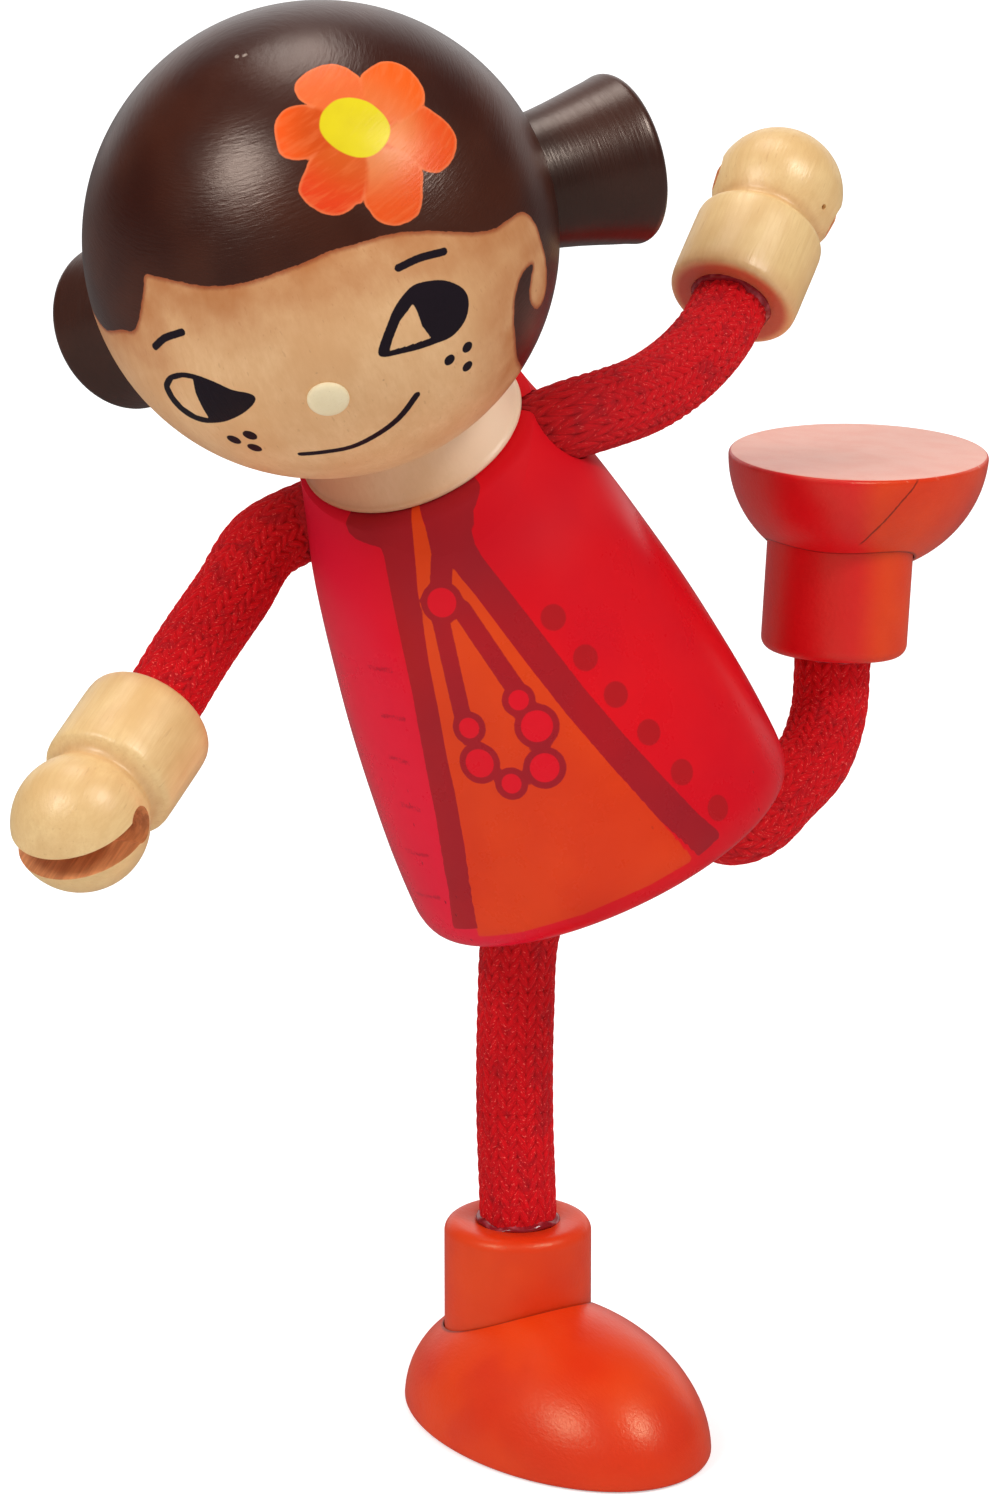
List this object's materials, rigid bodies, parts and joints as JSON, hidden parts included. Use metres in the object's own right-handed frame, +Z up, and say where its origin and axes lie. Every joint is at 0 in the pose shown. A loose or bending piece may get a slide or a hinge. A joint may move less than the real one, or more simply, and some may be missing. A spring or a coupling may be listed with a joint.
{
  "type": "bendy wooden doll",
  "caption": "Small wooden bendy doll with ball head, hair buns, painted coat, wire-cored cord arms and legs, round hands and flat-soled shoes, posed on one foot.",
  "frame": {"origin": "middle of the standing shoe's flat sole", "axes": "+Z up, the doll's front looks along -Y, its left side lies towards +X"},
  "size_m": [0.0675, 0.0598, 0.1017],
  "materials": {
    "torso_finish": "gloss red paint with painted trims on turned wood",
    "neck_collar_finish": "clear lacquered pale wood, turned",
    "neck_dowel_finish": "plain turned dowel",
    "head_finish": "gloss brown paint and clear lacquer on turned wood",
    "nose_peg_finish": "clear lacquered pale wood, turned",
    "left_bun_finish": "gloss brown paint on turned wood",
    "right_bun_finish": "gloss brown paint on turned wood",
    "left_bun_dowel_finish": "plain turned dowel",
    "right_bun_dowel_finish": "plain turned dowel",
    "right_arm_cord_finish": "braided red cord, matt and fuzzy",
    "right_arm_wire_finish": "soft annealed steel wire",
    "left_arm_cord_finish": "braided red cord, matt and fuzzy",
    "left_arm_wire_finish": "soft annealed steel wire",
    "right_leg_cord_finish": "braided red cord, matt and fuzzy",
    "right_leg_wire_finish": "soft annealed steel wire",
    "left_leg_cord_finish": "braided red cord, matt and fuzzy",
    "left_leg_wire_finish": "soft annealed steel wire",
    "right_hand_finish": "clear lacquered pale wood, turned",
    "left_hand_finish": "clear lacquered pale wood, turned",
    "right_ankle_cuff_finish": "gloss orange-red paint on turned wood",
    "right_shoe_finish": "gloss orange-red paint on wood",
    "left_ankle_cuff_finish": "gloss orange-red paint on turned wood",
    "left_shoe_finish": "gloss orange-red paint on wood"
  },
  "bodies": {
    "torso": {"torso": "torso_finish", "neck_collar": "neck_collar_finish", "neck_dowel": "neck_dowel_finish"},
    "head": {"head": "head_finish", "nose_peg": "nose_peg_finish", "left_bun": "left_bun_finish", "right_bun": "right_bun_finish", "left_bun_dowel": "left_bun_dowel_finish", "right_bun_dowel": "right_bun_dowel_finish"},
    "right_arm_upper": {"right_arm_cord": "right_arm_cord_finish"},
    "right_arm_lower": {"right_arm_wire": "right_arm_wire_finish"},
    "right_arm_end": {"right_hand": "right_hand_finish"},
    "left_arm_upper": {"left_arm_cord": "left_arm_cord_finish"},
    "left_arm_lower": {"left_arm_wire": "left_arm_wire_finish"},
    "left_arm_end": {"left_hand": "left_hand_finish"},
    "right_leg_upper": {"right_leg_cord": "right_leg_cord_finish"},
    "right_leg_lower": {"right_leg_wire": "right_leg_wire_finish"},
    "right_leg_end": {"right_ankle_cuff": "right_ankle_cuff_finish", "right_shoe": "right_shoe_finish"},
    "left_leg_upper": {"left_leg_cord": "left_leg_cord_finish"},
    "left_leg_lower": {"left_leg_wire": "left_leg_wire_finish"},
    "left_leg_end": {"left_ankle_cuff": "left_ankle_cuff_finish", "left_shoe": "left_shoe_finish"}
  },
  "joints": [
    {"name": "head_turn", "type": "hinge", "parent": "torso", "child": "head", "pos_m": [-0.01588, -0.00385, 0.08593], "axis": [-0.336, -0.412, 0.8469], "range_deg": [-60, 60]},
    {"name": "right_shoulder", "type": "hinge", "parent": "torso", "child": "right_arm_upper", "pos_m": [-0.01933, 0.00504, 0.06336], "axis": [-0.6406, 0.7679, 0], "range_deg": [-45, 45], "deforming": ["right_arm_cord", "right_arm_wire"]},
    {"name": "right_elbow", "type": "hinge", "parent": "right_arm_upper", "child": "right_arm_lower", "pos_m": [-0.02302, -0.00073, 0.05957], "axis": [-0.2378, -0.4147, 0.8783], "range_deg": [-45, 45], "deforming": ["right_arm_cord", "right_arm_wire"]},
    {"name": "right_wrist", "type": "hinge", "parent": "right_arm_lower", "child": "right_arm_end", "pos_m": [-0.02637, -0.00656, 0.05545], "axis": [0.8677, -0.4971, 0], "range_deg": [-45, 45], "deforming": ["right_arm_cord", "right_arm_wire"]},
    {"name": "left_shoulder", "type": "hinge", "parent": "torso", "child": "left_arm_upper", "pos_m": [0.00221, 0.00404, 0.07224], "axis": [-0.6774, 0.7356, 0], "range_deg": [-45, 15], "deforming": ["left_arm_cord", "left_arm_wire"]},
    {"name": "left_elbow", "type": "hinge", "parent": "left_arm_upper", "child": "left_arm_lower", "pos_m": [0.00752, 0.0102, 0.07302], "axis": [-0.1092, -0.1591, 0.9812], "range_deg": [-45, 45], "deforming": ["left_arm_cord", "left_arm_wire"]},
    {"name": "left_wrist", "type": "hinge", "parent": "left_arm_lower", "child": "left_arm_end", "pos_m": [0.01131, 0.01707, 0.07533], "axis": [0.9103, -0.4141, 0], "range_deg": [-45, 45], "deforming": ["left_arm_cord", "left_arm_wire"]},
    {"name": "right_hip", "type": "hinge", "parent": "torso", "child": "right_leg_upper", "pos_m": [-0.00232, 0.00691, 0.03485], "axis": [0.9447, -0.0201, -0.3273], "range_deg": [-30, 30], "deforming": ["right_leg_cord", "right_leg_wire"]},
    {"name": "right_knee", "type": "hinge", "parent": "right_leg_upper", "child": "right_leg_lower", "pos_m": [-0.00295, 0.00623, 0.02593], "axis": [-0.0018, 0.993, -0.118], "range_deg": [-30, 30], "deforming": ["right_leg_cord", "right_leg_wire"]},
    {"name": "right_ankle", "type": "hinge", "parent": "right_leg_lower", "child": "right_leg_end", "pos_m": [-0.00281, 0.00476, 0.01706], "axis": [0.9992, 0.0074, 0.0383], "range_deg": [-30, 30], "deforming": ["right_leg_cord", "right_leg_wire"]},
    {"name": "left_hip", "type": "hinge", "parent": "torso", "child": "left_leg_upper", "pos_m": [0.01171, 0.00998, 0.04103], "axis": [0.5948, -0.6094, 0.5242], "range_deg": [-45, 15], "deforming": ["left_leg_cord", "left_leg_wire"]},
    {"name": "left_knee", "type": "hinge", "parent": "left_leg_upper", "child": "left_leg_lower", "pos_m": [0.0173, 0.01466, 0.04334], "axis": [-0.5077, 0.766, -0.3944], "range_deg": [-15, 45], "deforming": ["left_leg_cord", "left_leg_wire"]},
    {"name": "left_ankle", "type": "hinge", "parent": "left_leg_lower", "child": "left_leg_end", "pos_m": [0.01955, 0.01798, 0.04823], "axis": [0.9971, -0.0206, -0.0731], "range_deg": [-40, 40], "deforming": ["left_leg_cord", "left_leg_wire"]}
  ]
}
